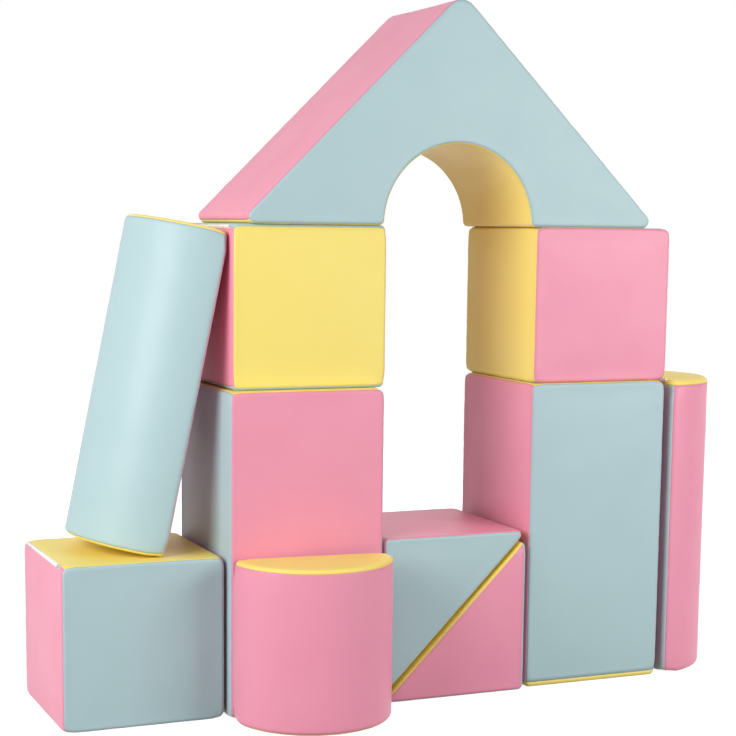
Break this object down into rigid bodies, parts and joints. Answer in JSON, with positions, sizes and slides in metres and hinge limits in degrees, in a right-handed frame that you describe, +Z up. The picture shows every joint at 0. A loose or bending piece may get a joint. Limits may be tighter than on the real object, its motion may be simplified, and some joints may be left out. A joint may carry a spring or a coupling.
{
  "type": "giant building block set",
  "caption": "Giant soft foam building blocks in zipped leatherette covers, stacked as a small house with pillars, wedges, half-rounds and an arched roof.",
  "frame": {"origin": "on the floor, under the middle of the stacked set's box", "axes": "+X to the right along the front of the house, +Y from the front to the back, +Z up"},
  "size_m": [1.3905, 0.5067, 1.3139],
  "materials": {
    "foam": "matte",
    "pink_leatherette": "satin",
    "blue_leatherette": "satin",
    "yellow_leatherette": "satin",
    "zip_tape": "matte",
    "zip_slider": "satin"
  },
  "bodies": {
    "left_pillar": {"left_pillar_foam": "foam", "left_pillar_pink": "pink_leatherette", "left_pillar_blue": "blue_leatherette", "left_pillar_yellow": "yellow_leatherette"},
    "left_pillar_slider": {"left_pillar_slider": "zip_slider"},
    "right_pillar": {"right_pillar_foam": "foam", "right_pillar_pink": "pink_leatherette", "right_pillar_blue": "blue_leatherette", "right_pillar_yellow": "yellow_leatherette"},
    "right_pillar_slider": {"right_pillar_slider": "zip_slider"},
    "front_cube": {"front_cube_foam": "foam", "front_cube_pink": "pink_leatherette", "front_cube_blue": "blue_leatherette", "front_cube_yellow": "yellow_leatherette", "front_cube_zip": "zip_tape"},
    "front_cube_slider": {"front_cube_slider": "zip_slider"},
    "left_cube": {"left_cube_foam": "foam", "left_cube_pink": "pink_leatherette", "left_cube_blue": "blue_leatherette", "left_cube_yellow": "yellow_leatherette", "left_cube_zip": "zip_tape"},
    "left_cube_slider": {"left_cube_slider": "zip_slider"},
    "right_cube": {"right_cube_foam": "foam", "right_cube_pink": "pink_leatherette", "right_cube_blue": "blue_leatherette", "right_cube_yellow": "yellow_leatherette"},
    "right_cube_slider": {"right_cube_slider": "zip_slider"},
    "upper_wedge": {"upper_wedge_foam": "foam", "upper_wedge_pink": "pink_leatherette", "upper_wedge_blue": "blue_leatherette", "upper_wedge_yellow": "yellow_leatherette"},
    "upper_wedge_slider": {"upper_wedge_slider": "zip_slider"},
    "lower_wedge": {"lower_wedge_foam": "foam", "lower_wedge_pink": "pink_leatherette", "lower_wedge_blue": "blue_leatherette", "lower_wedge_yellow": "yellow_leatherette", "lower_wedge_zip": "zip_tape"},
    "lower_wedge_slider": {"lower_wedge_slider": "zip_slider"},
    "short_drum": {"short_drum_foam": "foam", "short_drum_pink": "pink_leatherette", "short_drum_blue": "blue_leatherette", "short_drum_yellow": "yellow_leatherette"},
    "short_drum_slider": {"short_drum_slider": "zip_slider"},
    "leaning_column": {"leaning_column_foam": "foam", "leaning_column_pink": "pink_leatherette", "leaning_column_blue": "blue_leatherette", "leaning_column_yellow": "yellow_leatherette", "leaning_column_zip": "zip_tape"},
    "leaning_column_slider": {"leaning_column_slider": "zip_slider"},
    "right_column": {"right_column_foam": "foam", "right_column_pink": "pink_leatherette", "right_column_blue": "blue_leatherette", "right_column_yellow": "yellow_leatherette", "right_column_zip": "zip_tape"},
    "right_column_slider": {"right_column_slider": "zip_slider"},
    "roof": {"roof_foam": "foam", "roof_pink": "pink_leatherette", "roof_blue": "blue_leatherette", "roof_yellow": "yellow_leatherette"},
    "roof_slider": {"roof_slider": "zip_slider"}
  },
  "joints": [
    {"name": "front_cube_slide", "type": "slide", "parent": "left_pillar", "child": "front_cube", "axis": [-1, 0, 0], "range_m": [0, 0.2]},
    {"name": "leaning_column_tip", "type": "hinge", "parent": "front_cube", "child": "leaning_column", "pos_m": [-0.504, 0.10354, 0.3123], "axis": [0, -1, 0], "range_deg": [0, 11.79]},
    {"name": "left_cube_slide", "type": "slide", "parent": "left_pillar", "child": "left_cube", "axis": [0, -1, 0], "range_m": [0, 0.2]},
    {"name": "right_pillar_slide", "type": "slide", "parent": "left_pillar", "child": "right_pillar", "axis": [0, -1, 0], "range_m": [0, 0.25]},
    {"name": "right_cube_slide", "type": "slide", "parent": "right_pillar", "child": "right_cube", "axis": [0, -1, 0], "range_m": [0, 0.2]},
    {"name": "lower_wedge_slide", "type": "slide", "parent": "left_pillar", "child": "lower_wedge", "axis": [0, -1, 0], "range_m": [0, 0.25]},
    {"name": "upper_wedge_lift", "type": "slide", "parent": "lower_wedge", "child": "upper_wedge", "axis": [0, 0, 1], "range_m": [0, 0.25]},
    {"name": "short_drum_slide", "type": "slide", "parent": "left_pillar", "child": "short_drum", "axis": [0, -1, 0], "range_m": [0, 0.25]},
    {"name": "right_column_slide", "type": "slide", "parent": "left_pillar", "child": "right_column", "axis": [1, 0, 0], "range_m": [0, 0.25]},
    {"name": "roof_lift", "type": "slide", "parent": "left_pillar", "child": "roof", "axis": [0, 0, 1], "range_m": [0, 0.25]},
    {"name": "left_pillar_unzip", "type": "slide", "parent": "left_pillar", "child": "left_pillar_slider", "axis": [0, 0, 1], "range_m": [0, 0.5414]},
    {"name": "right_pillar_unzip", "type": "slide", "parent": "right_pillar", "child": "right_pillar_slider", "axis": [0, 0, 1], "range_m": [0, 0.5414]},
    {"name": "front_cube_unzip", "type": "slide", "parent": "front_cube", "child": "front_cube_slider", "axis": [0, 1, 0], "range_m": [0, 0.2414]},
    {"name": "left_cube_unzip", "type": "slide", "parent": "left_cube", "child": "left_cube_slider", "axis": [0, -1, 0], "range_m": [0, 0.2414]},
    {"name": "right_cube_unzip", "type": "slide", "parent": "right_cube", "child": "right_cube_slider", "axis": [0, 0, 1], "range_m": [0, 0.2414]},
    {"name": "upper_wedge_unzip", "type": "slide", "parent": "upper_wedge", "child": "upper_wedge_slider", "axis": [0, 0, -1], "range_m": [0, 0.2314]},
    {"name": "lower_wedge_unzip", "type": "slide", "parent": "lower_wedge", "child": "lower_wedge_slider", "axis": [0, 1, 0], "range_m": [0, 0.2414]},
    {"name": "short_drum_unzip", "type": "slide", "parent": "short_drum", "child": "short_drum_slider", "axis": [0, 0, 1], "range_m": [0, 0.2414]},
    {"name": "leaning_column_unzip", "type": "slide", "parent": "leaning_column", "child": "leaning_column_slider", "axis": [0, 1, 0], "range_m": [0, 0.2207]},
    {"name": "right_column_unzip", "type": "slide", "parent": "right_column", "child": "right_column_slider", "axis": [0, 1, 0], "range_m": [0, 0.2207]},
    {"name": "roof_unzip", "type": "slide", "parent": "roof", "child": "roof_slider", "axis": [0.7128, 0, -0.7013], "range_m": [0, 0.4527]}
  ]
}
